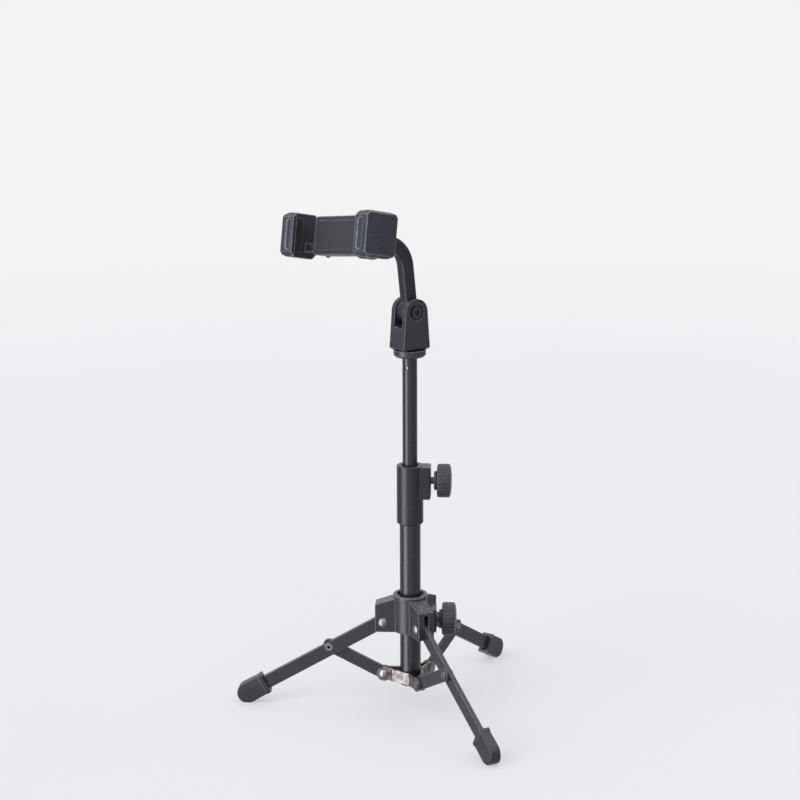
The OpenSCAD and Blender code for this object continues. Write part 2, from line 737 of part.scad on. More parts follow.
// Clamp ----------------------------------------------------------------------

// Ring nut that squeezes the ball into its socket
module ball_nut() color(black_plastic) in_clamp() difference() {
  edge = 1;
  union() {
    translate([ring_nut_back, 0, 0]) rotate([0, 90, 0]) cylinder(d1 = ring_nut_d - 4, d2 = ring_nut_d, h = 2);
    rod_x(ring_nut_d, ring_nut_back + 2, ring_nut_front - edge);
    translate([ring_nut_front - edge, 0, 0]) rotate([0, 90, 0])
      cylinder(d1 = ring_nut_d, d2 = ring_nut_d - 2 * edge, h = edge);
  }
  rod_x(socket_d + 2 * fit, socket_back - gap, ring_nut_front + e);
  translate([ball_x, 0, 0]) sphere(d = ball_d + 2 * fit);
  rod_x(ring_nut_mouth, ring_nut_back - e, ball_x);
  for (i = [0 : 11]) rotate([i * 30, 0, 0]) translate([0, 0, ring_nut_d / 2 + 0.5])
    rod_x(2.2, ring_nut_back + 2.5, ring_nut_front + e);
}

// Outline of the housing, in y and z
module house_outline() round_rect(house_w, house_h, house_round);

// Room inside the housing, with a doorway for the upper rack on the right and the lower one on the left
module house_room() {
  square([house_w - 2 * wall_end, cavity_h], center = true);
  for (side = [-1, 1]) translate([side * house_w / 2, side * (cavity_h / 4 + tooth_up)])
    square([4 * wall_end, cavity_h / 2 - tooth_up], center = true);
}

// Screw places at the housing's corners
module at_case_screws() for (sy = [-1, 1], sz = [-1, 1])
  translate([0, sy * case_screw_y, sz * case_screw_z]) children();

module housing_front() color(black_plastic) in_clamp() difference() {
  across(house_split, house_front) house_outline();
  across(house_split - e, house_front - front_t) house_room();
  at_case_screws() rod_x(case_screw_d, house_split - e, house_front - front_t);
}

module housing_back() color(black_plastic) in_clamp() difference() {
  union() {
    across(house_back, house_split) house_outline();
    rod_x(socket_d, socket_back, house_back);
    translate([house_back - 3, 0, 0]) rotate([0, 90, 0]) cylinder(d1 = socket_d, d2 = socket_d + 5, h = 3);
  }
  across(house_back + back_t, house_split + e) house_room();
  translate([ball_x, 0, 0]) sphere(d = ball_d + 2 * fit);
  rod_x(ball_d + 2 * fit, socket_back - e, ball_x);
  at_case_screws() {
    rod_x(case_screw_d, house_back - e, house_split + e);
    rod_x(case_screw_head, house_back - e, house_back + 1.5);
  }
}

module housing_pad() color(soft_black) in_clamp()
  across(house_front, rest_x) round_rect(house_w - 8, house_h - 6, house_round);

module housing_screws() color(bright) in_clamp() at_case_screws() difference() {
  union() {
    rod_x(case_screw_d, house_back + 1.5, house_front - front_t - 0.4);
    rod_x(case_screw_head, house_back + 0.2, house_back + 1.5);
  }
  for (turn = [0, 90]) rotate([turn, 0, 0]) translate([house_back, -0.3, -1.2]) cube([0.8, 0.6, 2.4]);
}

// One gear tooth pointing along +y, with its pitch line at y = 0
module tooth() polygon([
  [-tooth_root_w / 2, -tooth_down], [tooth_root_w / 2, -tooth_down],
  [tooth_tip_w / 2, tooth_up], [-tooth_tip_w / 2, tooth_up]
]);

module pinion() color(bright) in_clamp() across(rack_x - rack_t / 2, rack_x + rack_t / 2) difference() {
  union() {
    circle(pinion_r - tooth_down + 0.05);
    for (i = [0 : pinion_teeth - 1]) rotate(i * 360 / pinion_teeth) translate([0, pinion_r]) tooth();
  }
  circle(d = pinion_pin_d + 2 * fit);
}

module pinion_pin() color(bright) in_clamp() rod_x(pinion_pin_d, house_back + back_t, house_front - front_t);

// Leaf that presses on the backs of both racks and holds the jaws by friction
module friction_spring() color(warm_steel) in_clamp() difference() {
  leaf_x = house_back + back_t;
  rack_back = rack_x - rack_t / 2;
  for (side = [-1, 1]) let (press_y = side * leaf_half / 4 + leaf_half / 2)
    translate([0, 0, side * (rack_z + rack_h / 2)]) linear_extrude(4, center = true) polygon([
      [leaf_x, -leaf_half], [leaf_x + leaf_t, -leaf_half], [leaf_x + leaf_t, -leaf_half / 2],
      [rack_back - pad_touch, press_y], [leaf_x + leaf_t, leaf_half], [leaf_x, leaf_half],
      [leaf_x, leaf_half - 2], [rack_back - pad_touch - leaf_t, press_y], [leaf_x, -leaf_half / 2 + leaf_t]
    ]);
  rod_x(pinion_pin_d + 1, house_back, house_front);
}

// Outline of a jaw seen from above, in x and y, for the jaw on the +y side
module jaw_plan() {
  bow_r = (pow((jaw_front_x - jaw_back_x) / 2, 2) + jaw_bow * jaw_bow) / (2 * jaw_bow);
  inner = jaw_in + jaw_pad_t;
  intersection() {
    union() {
      translate([jaw_back_x, inner]) square([jaw_front_x - jaw_back_x, jaw_out - inner]);
      translate([slot_t / 2, jaw_in - lip_over]) square([lip_t, jaw_side_t + lip_over]);
    }
    translate([(jaw_front_x + jaw_back_x) / 2, jaw_out - bow_r]) circle(bow_r, $fn = 256);
  }
}

// Jaw on the +y side, with its rack above the pinion
module jaw() {
  tongue_y = jaw_in + jaw_pad_t + 1;
  edge = jaw_edge;
  intersection() {
    difference() {
      translate([0, 0, -jaw_h / 2]) linear_extrude(jaw_h) jaw_plan();
      across(jaw_front_x - lip_oval_deep, jaw_front_x + e)
        translate([jaw_in - lip_over + lip_oval_w / 2 + 2.4, 0]) {
          square([lip_oval_w, lip_oval_h - lip_oval_w], center = true);
          for (s = [-1, 1]) translate([0, s * (lip_oval_h - lip_oval_w) / 2]) circle(d = lip_oval_w);
        }
    }
    across(jaw_back_x - e, jaw_front_x + e) polygon([
      [0, -jaw_h / 2], [jaw_out - 3 * edge, -jaw_h / 2], [jaw_out, -jaw_h / 2 + edge],
      [jaw_out, jaw_h / 2 - edge], [jaw_out - 3 * edge, jaw_h / 2], [0, jaw_h / 2]
    ]);
    upright(4 * jaw_out) polygon([
      [jaw_back_x, -jaw_h / 2 + 2 * edge], [jaw_back_x + 2 * edge, -jaw_h / 2],
      [jaw_front_x - 2 * edge, -jaw_h / 2], [jaw_front_x, -jaw_h / 2 + 2 * edge],
      [jaw_front_x, jaw_h / 2 - 2 * edge], [jaw_front_x - 2 * edge, jaw_h / 2],
      [jaw_back_x + 2 * edge, jaw_h / 2], [jaw_back_x, jaw_h / 2 - 2 * edge]
    ]);
  }
  across(rack_x - rack_t / 2, rack_x + rack_t / 2) {
    translate([-rack_tail, rack_z]) square([tongue_y + rack_tail, rack_h]);
    for (i = [0 : rack_teeth - 1])
      translate([(i - 4.5) * tooth_pitch, pinion_r]) rotate(180) tooth();
  }
}

// Turns the jaw on the +y side into the one on the -y side
module other_side() rotate([180, 0, 0]) children();

// Rubber lining on the face that grips the edge of the device, on the +y side
module jaw_pad() across(rest_x, slot_t / 2) translate([jaw_in + jaw_pad_t / 2, 0])
  square([jaw_pad_t, jaw_h - 4 * jaw_edge], center = true);

module jaw_right() color(black_plastic) in_clamp() jaw();
module jaw_left() color(black_plastic) in_clamp() other_side() jaw();
module jaw_pad_right() color(soft_black) in_clamp() jaw_pad();
module jaw_pad_left() color(soft_black) in_clamp() other_side() jaw_pad();

lower_tube();
tube_plug();
spider_strip(az_left);  // spider_left_front
spider_strip(az_front);  // spider_front_rear
spider_strip(az_rear);  // spider_rear_left
spider_rivets();
height_collar();
collar_insert();
collar_bush();
brace(az_left);  // brace_left
brace(az_front);  // brace_front
brace(az_rear);  // brace_rear
leg(az_left);  // leg_left
leg(az_front);  // leg_front
leg(az_rear);  // leg_rear
foot(az_left);  // foot_left
foot(az_front);  // foot_front
foot(az_rear);  // foot_rear
brace_rivet(az_left);  // brace_rivet_left
brace_rivet(az_front);  // brace_rivet_front
brace_rivet(az_rear);  // brace_rivet_rear
tripod_hub();
hub_rivets();
hub_insert();
hub_pad();
hub_screw();
hub_knob();
height_pad();
height_screw();
height_knob();
upper_tube();
slide_bush();
pole_ring();
top_stud();
clevis();
clevis_insert();
tilt_bolt();
tilt_nut();
tilt_washers();
arm();
arm_bush();
ball_stud();
ball_nut();
housing_front();
housing_back();
housing_pad();
housing_screws();
pinion();
pinion_pin();
friction_spring();
jaw_left();
jaw_right();
jaw_pad_left();
jaw_pad_right();
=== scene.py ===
"""Desktop microphone stand: black tripod, telescopic pole, tilting arm and a two-jaw device clamp."""
import json
import math

import bpy
from mathutils import Matrix, Vector


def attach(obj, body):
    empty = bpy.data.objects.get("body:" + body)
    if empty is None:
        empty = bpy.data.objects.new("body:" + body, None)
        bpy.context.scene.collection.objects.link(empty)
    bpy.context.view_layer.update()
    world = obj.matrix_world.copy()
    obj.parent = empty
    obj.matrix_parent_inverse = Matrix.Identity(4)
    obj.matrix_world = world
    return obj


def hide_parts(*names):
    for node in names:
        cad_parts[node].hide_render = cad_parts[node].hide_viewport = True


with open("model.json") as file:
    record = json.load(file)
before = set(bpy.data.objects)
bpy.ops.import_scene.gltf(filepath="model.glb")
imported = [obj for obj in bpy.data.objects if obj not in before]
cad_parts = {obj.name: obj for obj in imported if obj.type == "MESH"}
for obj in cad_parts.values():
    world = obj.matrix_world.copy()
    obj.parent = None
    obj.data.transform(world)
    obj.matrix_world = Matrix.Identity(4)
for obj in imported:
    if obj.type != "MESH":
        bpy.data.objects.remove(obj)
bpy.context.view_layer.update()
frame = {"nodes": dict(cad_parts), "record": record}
nodes = frame["nodes"]
MM = 0.001


# ---------------------------------------------------------------- node groups

def new_group(name, inputs, outputs):
    """An empty shader node group with named sockets, each (name, kind, default)."""
    group = bpy.data.node_groups.new(name, "ShaderNodeTree")
    for label, kind, default in inputs:
        socket = group.interface.new_socket(label, in_out="INPUT", socket_type=kind)
        socket.default_value = default
    for label, kind in outputs:
        group.interface.new_socket(label, in_out="OUTPUT", socket_type=kind)
    start = group.nodes.new("NodeGroupInput")
    end = group.nodes.new("NodeGroupOutput")
    return group, start, end


def add(tree, kind, **settings):
    """A node whose plain settings are set by name."""
    made = tree.nodes.new("ShaderNode" + kind)
    for key, value in settings.items():
        setattr(made, key, value)
    return made


def link(tree, source, target):
    """Joins a socket, or sets the target to a plain number or colour."""
    if isinstance(source, bpy.types.NodeSocket):
        tree.links.new(source, target)
    else:
        target.default_value = source


def math_node(tree, operation, first, second=0.0, clamp=False):
    made = add(tree, "Math", operation=operation, use_clamp=clamp)
    link(tree, first, made.inputs[0])
    link(tree, second, made.inputs[1])
    return made.outputs[0]


def noise(tree, place, scale, detail=2.0, rough=0.5):
    made = add(tree, "TexNoise")
    link(tree, place, made.inputs["Vector"])
    link(tree, scale, made.inputs["Scale"])
    made.inputs["Detail"].default_value = detail
    made.inputs["Roughness"].default_value = rough
    return made.outputs["Fac"]


def spread(tree, value, low, high):
    """Stretches the range low to high over 0 to 1."""
    made = add(tree, "MapRange")
    link(tree, value, made.inputs["Value"])
    made.inputs["From Min"].default_value = low
    made.inputs["From Max"].default_value = high
    return made.outputs["Result"]


def make_moulded_skin():
    """Spark-eroded mould texture: fine pits with a faint larger unevenness."""
    group, start, end = new_group(
        "Moulded skin",
        [("Grain size", "NodeSocketFloat", 0.35), ("Pull", "NodeSocketFloat", 0.25)],
        [("Height", "NodeSocketFloat"), ("Mottle", "NodeSocketFloat")])
    place = add(group, "TexCoord").outputs["Object"]
    per_metre = math_node(group, "DIVIDE", 1000.0, start.outputs["Grain size"])
    fine = noise(group, place, per_metre, 3.0, 0.6)
    broad = noise(group, place, 140.0, 2.0)
    pulled = math_node(group, "MULTIPLY", broad, start.outputs["Pull"])
    link(group, math_node(group, "ADD", fine, pulled), end.inputs["Height"])
    link(group, spread(group, noise(group, place, 320.0, 4.0, 0.65), 0.32, 0.68), end.inputs["Mottle"])
    return group


def make_worn_and_highlit_edges():
    """Rounded arrises, and a mask that lightens the edges: partly wear where hands and desks have polished
    them, partly a painted highlight along the arrises.
    """
    group, start, end = new_group(
        "Worn edges and painted highlight",
        [("Rounding", "NodeSocketFloat", 0.0005), ("Wear", "NodeSocketFloat", 1.0)],
        [("Rounded", "NodeSocketVector"), ("Mask", "NodeSocketFloat")])
    bevel = add(group, "Bevel", samples=6)
    link(group, start.outputs["Rounding"], bevel.inputs["Radius"])
    face = add(group, "NewGeometry").outputs["Normal"]
    turn = add(group, "VectorMath", operation="DOT_PRODUCT")
    link(group, bevel.outputs["Normal"], turn.inputs[0])
    link(group, face, turn.inputs[1])
    # Edge mask: marks rubbed wear and a painted highlight together.
    away = spread(group, turn.outputs["Value"], 0.985, 0.82)
    place = add(group, "TexCoord").outputs["Object"]
    patchy = spread(group, noise(group, place, 420.0, 4.0, 0.7), 0.2, 0.6)
    rubbed_and_highlit = math_node(group, "MULTIPLY", away, patchy)
    link(group, math_node(group, "MULTIPLY", rubbed_and_highlit, start.outputs["Wear"], clamp=True), end.inputs["Mask"])
    link(group, bevel.outputs["Normal"], end.inputs["Rounded"])
    return group


def make_handling():
    """Faint finger smears and settled dust on faces that look up."""
    group, start, end = new_group(
        "Handling marks",
        [("Smear", "NodeSocketFloat", 0.08), ("Dust", "NodeSocketFloat", 0.1)],
        [("Gloss shift", "NodeSocketFloat"), ("Dust", "NodeSocketFloat")])
    place = add(group, "TexCoord").outputs["Object"]
    smear = spread(group, noise(group, place, 65.0, 5.0, 0.6), 0.3, 0.7)
    centred = math_node(group, "SUBTRACT", smear, 0.5)
    link(group, math_node(group, "MULTIPLY", centred, start.outputs["Smear"]), end.inputs["Gloss shift"])
    up = add(group, "SeparateXYZ")
    link(group, add(group, "NewGeometry").outputs["Normal"], up.inputs[0])
    facing_up = spread(group, up.outputs["Z"], 0.25, 1.0)
    specks = spread(group, noise(group, place, 900.0, 5.0, 0.75), 0.45, 0.8)
    settled = math_node(group, "MULTIPLY", facing_up, specks, clamp=True)
    link(group, math_node(group, "MULTIPLY", settled, start.outputs["Dust"]), end.inputs["Dust"])
    return group


MOULDED_SKIN = make_moulded_skin()
WORN_AND_HIGHLIT_EDGES = make_worn_and_highlit_edges()
HANDLING = make_handling()


def use_group(tree, group, **values):
    made = add(tree, "Group", node_tree=group)
    for key, value in values.items():
        link(tree, value, made.inputs[key.replace("_", " ")])
    return made


def mix_colour(tree, factor, first, second):
    made = add(tree, "Mix", data_type="RGBA")
    link(tree, factor, made.inputs["Factor"])
    link(tree, first, made.inputs[6])
    link(tree, second, made.inputs[7])
    return made.outputs[2]


def grey(value, blue=0.0):
    """A neutral, or slightly cool, linear colour."""
    return (value * (1 - blue), value * (1 - blue * 0.4), value * (1 + blue), 1.0)


def start_material(name):
    material = bpy.data.materials.new(name)
    material.use_nodes = True
    tree = material.node_tree
    return material, tree, tree.nodes["Principled BSDF"]


def bump(tree, height, distance, normal):
    made = add(tree, "Bump")
    made.inputs["Strength"].default_value = 1.0
    made.inputs["Distance"].default_value = distance
    link(tree, height, made.inputs["Height"])
    link(tree, normal, made.inputs["Normal"])
    return made.outputs["Normal"]


def coated_material(name, dark, light, worn_and_highlight_grey, gloss, grain=0.3, depth=0.00002, rounding=0.0004,
                    wear_and_highlight=0.5, dust=0.08, specular=0.5, blue=0.03, coat=0.0, smear=0.1):
    """A painted or moulded finish: mottled colour, fine skin, rounded edges lightened by rubbing wear and by
    a painted highlight.
    """
    material, tree, surface = start_material(name)
    skin = use_group(tree, MOULDED_SKIN, Grain_size=grain)
    edges = use_group(tree, WORN_AND_HIGHLIT_EDGES, Rounding=rounding, Wear=wear_and_highlight)
    marks = use_group(tree, HANDLING, Smear=smear, Dust=dust)
    body = mix_colour(tree, skin.outputs["Mottle"], grey(dark, blue), grey(light, blue))
    # Edges lightened towards the edge grey: partly rubbed wear, partly a painted highlight.
    rubbed_and_highlit = mix_colour(tree, edges.outputs["Mask"], body, grey(worn_and_highlight_grey, 0.05))
    dusty = mix_colour(tree, marks.outputs["Dust"], rubbed_and_highlit, grey(0.35))
    link(tree, dusty, surface.inputs["Base Color"])
    shifted = math_node(tree, "ADD", marks.outputs["Gloss shift"], gloss)
    mottled = math_node(tree, "ADD", shifted, math_node(tree, "MULTIPLY", skin.outputs["Mottle"], 0.08))
    smoothed = math_node(tree, "SUBTRACT", mottled, math_node(tree, "MULTIPLY", edges.outputs["Mask"], 0.16))
    gloss_left = math_node(tree, "ADD", smoothed, marks.outputs["Dust"], clamp=True)
    link(tree, gloss_left, surface.inputs["Roughness"])
    link(tree, bump(tree, skin.outputs["Height"], depth, edges.outputs["Rounded"]), surface.inputs["Normal"])
    surface.inputs["Specular IOR Level"].default_value = specular
    surface.inputs["Coat Weight"].default_value = coat
    surface.inputs["Coat Roughness"].default_value = 0.3
    return material


def bare_metal(name, colour, stain, gloss, stain_scale=240.0, stretch=(1, 1, 1)):
    """Bare plated or rolled metal with stains, fine scratches and rounded edges, brightened partly by
    polishing wear and partly as a painted highlight.
    """
    material, tree, surface = start_material(name)
    edges = use_group(tree, WORN_AND_HIGHLIT_EDGES, Rounding=0.0003, Wear=0.6)
    marks = use_group(tree, HANDLING, Smear=0.15, Dust=0.04)
    place = add(tree, "TexCoord").outputs["Object"]
    patches = spread(tree, noise(tree, place, stain_scale, 5.0, 0.65), 0.35, 0.68)
    along = add(tree, "Mapping")
    link(tree, place, along.inputs["Vector"])
    along.inputs["Scale"].default_value = stretch
    lines = noise(tree, along.outputs["Vector"], 2600.0, 3.0, 0.6)
    body = mix_colour(tree, patches, colour, stain)
    # Edges made brighter: partly polish from wear, partly a painted highlight.
    brighter = tuple(min(1.0, c * 1.25) for c in colour[:3]) + (1.0,)
    polished_and_highlit = mix_colour(tree, edges.outputs["Mask"], body, brighter)
    link(tree, polished_and_highlit, surface.inputs["Base Color"])
    surface.inputs["Metallic"].default_value = 1.0
    mottled = math_node(tree, "ADD", gloss, math_node(tree, "MULTIPLY", patches, 0.16))
    smeared = math_node(tree, "ADD", mottled, marks.outputs["Gloss shift"], clamp=True)
    link(tree, smeared, surface.inputs["Roughness"])
    link(tree, bump(tree, lines, 0.00001, edges.outputs["Rounded"]), surface.inputs["Normal"])
    return material


# The third grey of each coated finish is its edge colour: partly rubbed wear, partly a painted highlight.
TUBE_PAINT = coated_material("Satin black tube paint", 0.013, 0.019, 0.10, 0.20, grain=0.6, depth=0.000008,
                             rounding=0.0004, wear_and_highlight=0.4, coat=0.2, blue=0.22)
BAR_PAINT = coated_material("Black painted bar steel", 0.026, 0.034, 0.34, 0.25, grain=0.5, depth=0.000014,
                            rounding=0.0008, wear_and_highlight=0.8, dust=0.12, blue=0.10)
SATIN_MOULDING = coated_material("Satin black moulding", 0.021, 0.034, 0.34, 0.27, grain=0.28, depth=0.000014,
                                 rounding=0.0009, wear_and_highlight=0.8, blue=0.13)
COLLAR_MOULDING = coated_material("Smooth collar moulding", 0.012, 0.018, 0.17, 0.30, grain=0.28,
                                  depth=0.000012, rounding=0.0006, wear_and_highlight=0.5, blue=0.24)
ARM_MOULDING = coated_material("Satin black arm moulding", 0.012, 0.018, 0.20, 0.32, grain=0.28,
                               depth=0.000014, rounding=0.0006, wear_and_highlight=0.7, blue=0.22)
GRIP_MOULDING = coated_material("Black knob moulding", 0.018, 0.027, 0.22, 0.36, grain=0.25, depth=0.00002,
                                rounding=0.0005, wear_and_highlight=0.7, blue=0.2)
JAW_MOULDING = coated_material("Grained jaw moulding", 0.020, 0.034, 0.46, 0.42, grain=0.45, depth=0.00006,
                               rounding=0.0012, wear_and_highlight=0.9, blue=0.18)
RUBBER = coated_material("Black foot rubber", 0.022, 0.032, 0.30, 0.32, grain=0.5, depth=0.00003,
                         rounding=0.0008, wear_and_highlight=0.8, dust=0.2, specular=0.45, blue=0.11)
BLACK_SCREW = coated_material("Blackened screw steel", 0.012, 0.02, 0.2, 0.24, grain=0.3, depth=0.00001,
                              rounding=0.0003, wear_and_highlight=0.9, specular=0.7, blue=0.15)
RIVET_STEEL = bare_metal("Zinc plated rivet steel", (0.36, 0.345, 0.34, 1), (0.20, 0.19, 0.185, 1), 0.30)
SPIDER_STEEL = bare_metal("Rolled spider steel", (0.36, 0.32, 0.305, 1), (0.09, 0.07, 0.062, 1), 0.34,
                          stain_scale=330.0, stretch=(1, 1, 6))
BRASS = bare_metal("Turned brass", (0.66, 0.5, 0.24, 1), (0.45, 0.33, 0.16, 1), 0.28)

FINISHES = {
    "tube_black": TUBE_PAINT, "bar_black": BAR_PAINT, "moulded_black": SATIN_MOULDING,
    "jaw_black": JAW_MOULDING, "rubber_black": RUBBER, "rivet_steel": RIVET_STEEL,
    "spider_steel": SPIDER_STEEL, "brass_part": BRASS, "black_fastener": BLACK_SCREW,
}


def finish_nodes():
    """Gives every CAD node the finish of its material slot."""
    slots = {part["node"]: part["material_slot"] for part in frame["record"]["subparts"]}
    for name, piece in nodes.items():
        piece.data.materials.clear()
        piece.data.materials.append(COLLAR_MOULDING if name == "height_collar" else FINISHES[slots[name]])


finish_nodes()


# ---------------------------------------------------------------- modelling by hand

def start(shape, **size):
    """Adds a primitive with nothing else selected and puts its place into its mesh."""
    if bpy.context.object and bpy.context.object.mode != "OBJECT":
        bpy.ops.object.mode_set(mode="OBJECT")
    bpy.ops.object.select_all(action="DESELECT")
    getattr(bpy.ops.mesh, "primitive_%s_add" % shape)(**size)
    bpy.ops.object.transform_apply(location=True, rotation=True, scale=True)
    return bpy.context.object


def pick_faces(piece, test):
    """Selects the faces whose centre and normal pass the test, and stays in edit mode."""
    bpy.ops.object.mode_set(mode="EDIT")
    bpy.ops.mesh.select_mode(type="FACE")
    bpy.ops.mesh.select_all(action="DESELECT")
    bpy.ops.object.mode_set(mode="OBJECT")
    for face in piece.data.polygons:
        face.select = test(face.center, face.normal)
    bpy.ops.object.mode_set(mode="EDIT")


def pick_edges(piece, test):
    """Selects the edges whose two ends pass the test, and stays in edit mode."""
    bpy.ops.object.mode_set(mode="EDIT")
    bpy.ops.mesh.select_mode(type="EDGE")
    bpy.ops.mesh.select_all(action="DESELECT")
    bpy.ops.object.mode_set(mode="OBJECT")
    points = piece.data.vertices
    for edge in piece.data.edges:
        edge.select = test(points[edge.vertices[0]].co, points[edge.vertices[1]].co)
    bpy.ops.object.mode_set(mode="EDIT")


def pick_all(piece):
    bpy.ops.object.mode_set(mode="EDIT")
    bpy.ops.mesh.select_all(action="SELECT")


def pull(step):
    """Extrudes the picked faces by a straight step."""
    bpy.ops.mesh.extrude_region_move(TRANSFORM_OT_translate={"value": step})


SHARP_EDGE = 35.0


def soften(piece, width, segments=3):
    """Rounds every edge sharper than SHARP_EDGE degrees."""
    bpy.ops.object.mode_set(mode="OBJECT")
    rounding = piece.modifiers.new("rounding", "BEVEL")
    rounding.width = width
    rounding.segments = segments
    rounding.limit_method = "ANGLE"
    rounding.angle_limit = math.radians(SHARP_EDGE)
    bpy.ops.object.modifier_apply(modifier=rounding.name)


def join(piece, *others):
    """Makes the pieces one object; their shells stay as they are."""
    bpy.ops.object.mode_set(mode="OBJECT")
    bpy.ops.object.select_all(action="DESELECT")
    for one in (piece,) + others:
        one.select_set(True)
    bpy.context.view_layer.objects.active = piece
    bpy.ops.object.join()


def set_down(piece, matrix):
    """Moves a piece and puts the move into its mesh."""
    bpy.ops.object.mode_set(mode="OBJECT")
    piece.matrix_world = matrix
    bpy.ops.object.transform_apply(location=True, rotation=True, scale=True)


def hand_over(piece, name, body, finish, slot, *replaced):
    """Names a finished piece, gives it its finish and body, and hides the CAD nodes it stands in for."""
    bpy.ops.object.mode_set(mode="OBJECT")
    bpy.ops.object.shade_smooth_by_angle(angle=math.radians(40))
    piece.name = name
    piece.data.name = name
    piece.data.materials.clear()
    piece.data.materials.append(finish)
    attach(piece, body)
    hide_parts(*replaced)


def turned(degrees, axis):
    """A turn about one of the main axes."""
    return Matrix.Rotation(math.radians(degrees), 4, axis)


# ---------------------------------------------------------------- rubber feet

LEG_LENGTH = 113.2 * MM
LEG_SLOPE = 29.6
PIVOT_RADIUS = 19.0 * MM
HUB_PIVOT_HEIGHT = 63.014 * MM
ABOVE_FLOOR = 0.00002


def make_foot(side, azimuth):
    """Rubber boot with a round toe and a thicker mouth band.

    Its mouth is only recessed, so the leg bar runs on into solid rubber.
    """
    toe_radius, thickness = 7.5 * MM, 7.6 * MM
    body_length, step, band_length, recess = 12.3 * MM, 0.25 * MM, 2.9 * MM, 2.2 * MM
    foot = start("cylinder", vertices=64, radius=toe_radius, depth=thickness,
                 rotation=(math.pi / 2, 0, 0))
    pick_all(foot)
    bpy.ops.mesh.bisect(plane_co=(0, 0, 0), plane_no=(1, 0, 0), clear_inner=True, use_fill=True)
    pick_faces(foot, lambda centre, normal: normal.x < -0.9)
    pull((-body_length, 0, 0))
    bpy.ops.transform.resize(value=(1, 1, 7.2 / 7.5), center_override=(0, 0, 0))
    pull((-step, 0, 0))
    bpy.ops.transform.resize(value=(1, 4.2 / 3.8, 7.5 / 7.2), center_override=(0, 0, 0))
    pull((-band_length, 0, 0))
    bpy.ops.mesh.inset(thickness=2.1 * MM)
    pull((recess, 0, 0))
    soften(foot, 0.9 * MM, segments=4)
    set_down(foot, turned(azimuth, "Z") @ Matrix.Translation((PIVOT_RADIUS, 0, HUB_PIVOT_HEIGHT))
             @ turned(LEG_SLOPE, "Y") @ Matrix.Translation((LEG_LENGTH, 0, 0)))
    pick_all(foot)
    bpy.ops.mesh.bisect(plane_co=(0, 0, ABOVE_FLOOR), plane_no=(0, 0, 1), clear_inner=True,
                        use_fill=True, threshold=0.000001)
    hand_over(foot, "boot_" + side, "leg_" + side, RUBBER, "rubber_black", "foot_" + side)


# ---------------------------------------------------------------- bent arm

ARM_AZIMUTH = 220.0
ARM_LEAN = 6.5
ARM_TURN = 72.4
ARM_BEND_RADIUS = 20.0 * MM
TILT_PIVOT_HEIGHT = 286.5 * MM


def make_arm():
    """Moulded arm: a round-cornered bar with a channel along each side, up, round and forward.

    The pivot bore in its boss and the stud bore at its tip are not cut.
    """
    depth, width = 9.4 * MM, 8.2 * MM
    straight, tip_run, channel_depth = 32.0 * MM, 6.5 * MM, 0.5 * MM
    lean = math.radians(ARM_LEAN)
    up = Vector((math.sin(lean), 0, math.cos(lean)))
    out = Vector((math.cos(lean), 0, -math.sin(lean)))
    foot = Vector((0, 0, TILT_PIVOT_HEIGHT))
    arm = start("plane", size=1.0)
    pick_all(arm)
    bpy.ops.transform.resize(value=(depth, width, 1), center_override=(0, 0, 0))
    bpy.ops.mesh.bevel(offset=1.5 * MM, segments=4, affect="VERTICES")
    side = width / 2 - 0.00001
    pick_edges(arm, lambda a, b: min(abs(a.y), abs(b.y)) > side and a.y * b.y > 0
               and abs(a.x - b.x) > 3 * MM)
    bpy.ops.mesh.subdivide(number_cuts=4)
    bpy.ops.object.mode_set(mode="OBJECT")
    for point in arm.data.vertices:
        if abs(point.co.x) < 1.0 * MM and abs(point.co.y) > side:
            point.co.y -= math.copysign(channel_depth, point.co.y)
    set_down(arm, Matrix.Translation(foot) @ turned(ARM_LEAN, "Y"))
    pick_all(arm)
    pull(up * straight)
    centre = foot + up * straight + out * ARM_BEND_RADIUS
    bpy.ops.mesh.spin(steps=28, angle=-math.radians(ARM_TURN), center=centre, axis=(0, 1, 0))
    tip = math.radians(ARM_LEAN + ARM_TURN)
    pull(Vector((math.sin(tip), 0, math.cos(tip))) * tip_run)
    bpy.ops.mesh.select_all(action="SELECT")
    bpy.ops.mesh.remove_doubles(threshold=0.000002)
    bpy.ops.mesh.normals_make_consistent(inside=False)
    boss = start("cylinder", vertices=72, radius=8.6 * MM, depth=width, location=foot,
                 rotation=(math.pi / 2, 0, 0))
    soften(boss, 0.7 * MM)
    join(arm, boss)
    set_down(arm, turned(ARM_AZIMUTH, "Z"))
    hand_over(arm, "bent_arm", "arm", ARM_MOULDING, "moulded_black", "arm")


# ---------------------------------------------------------------- locking knobs

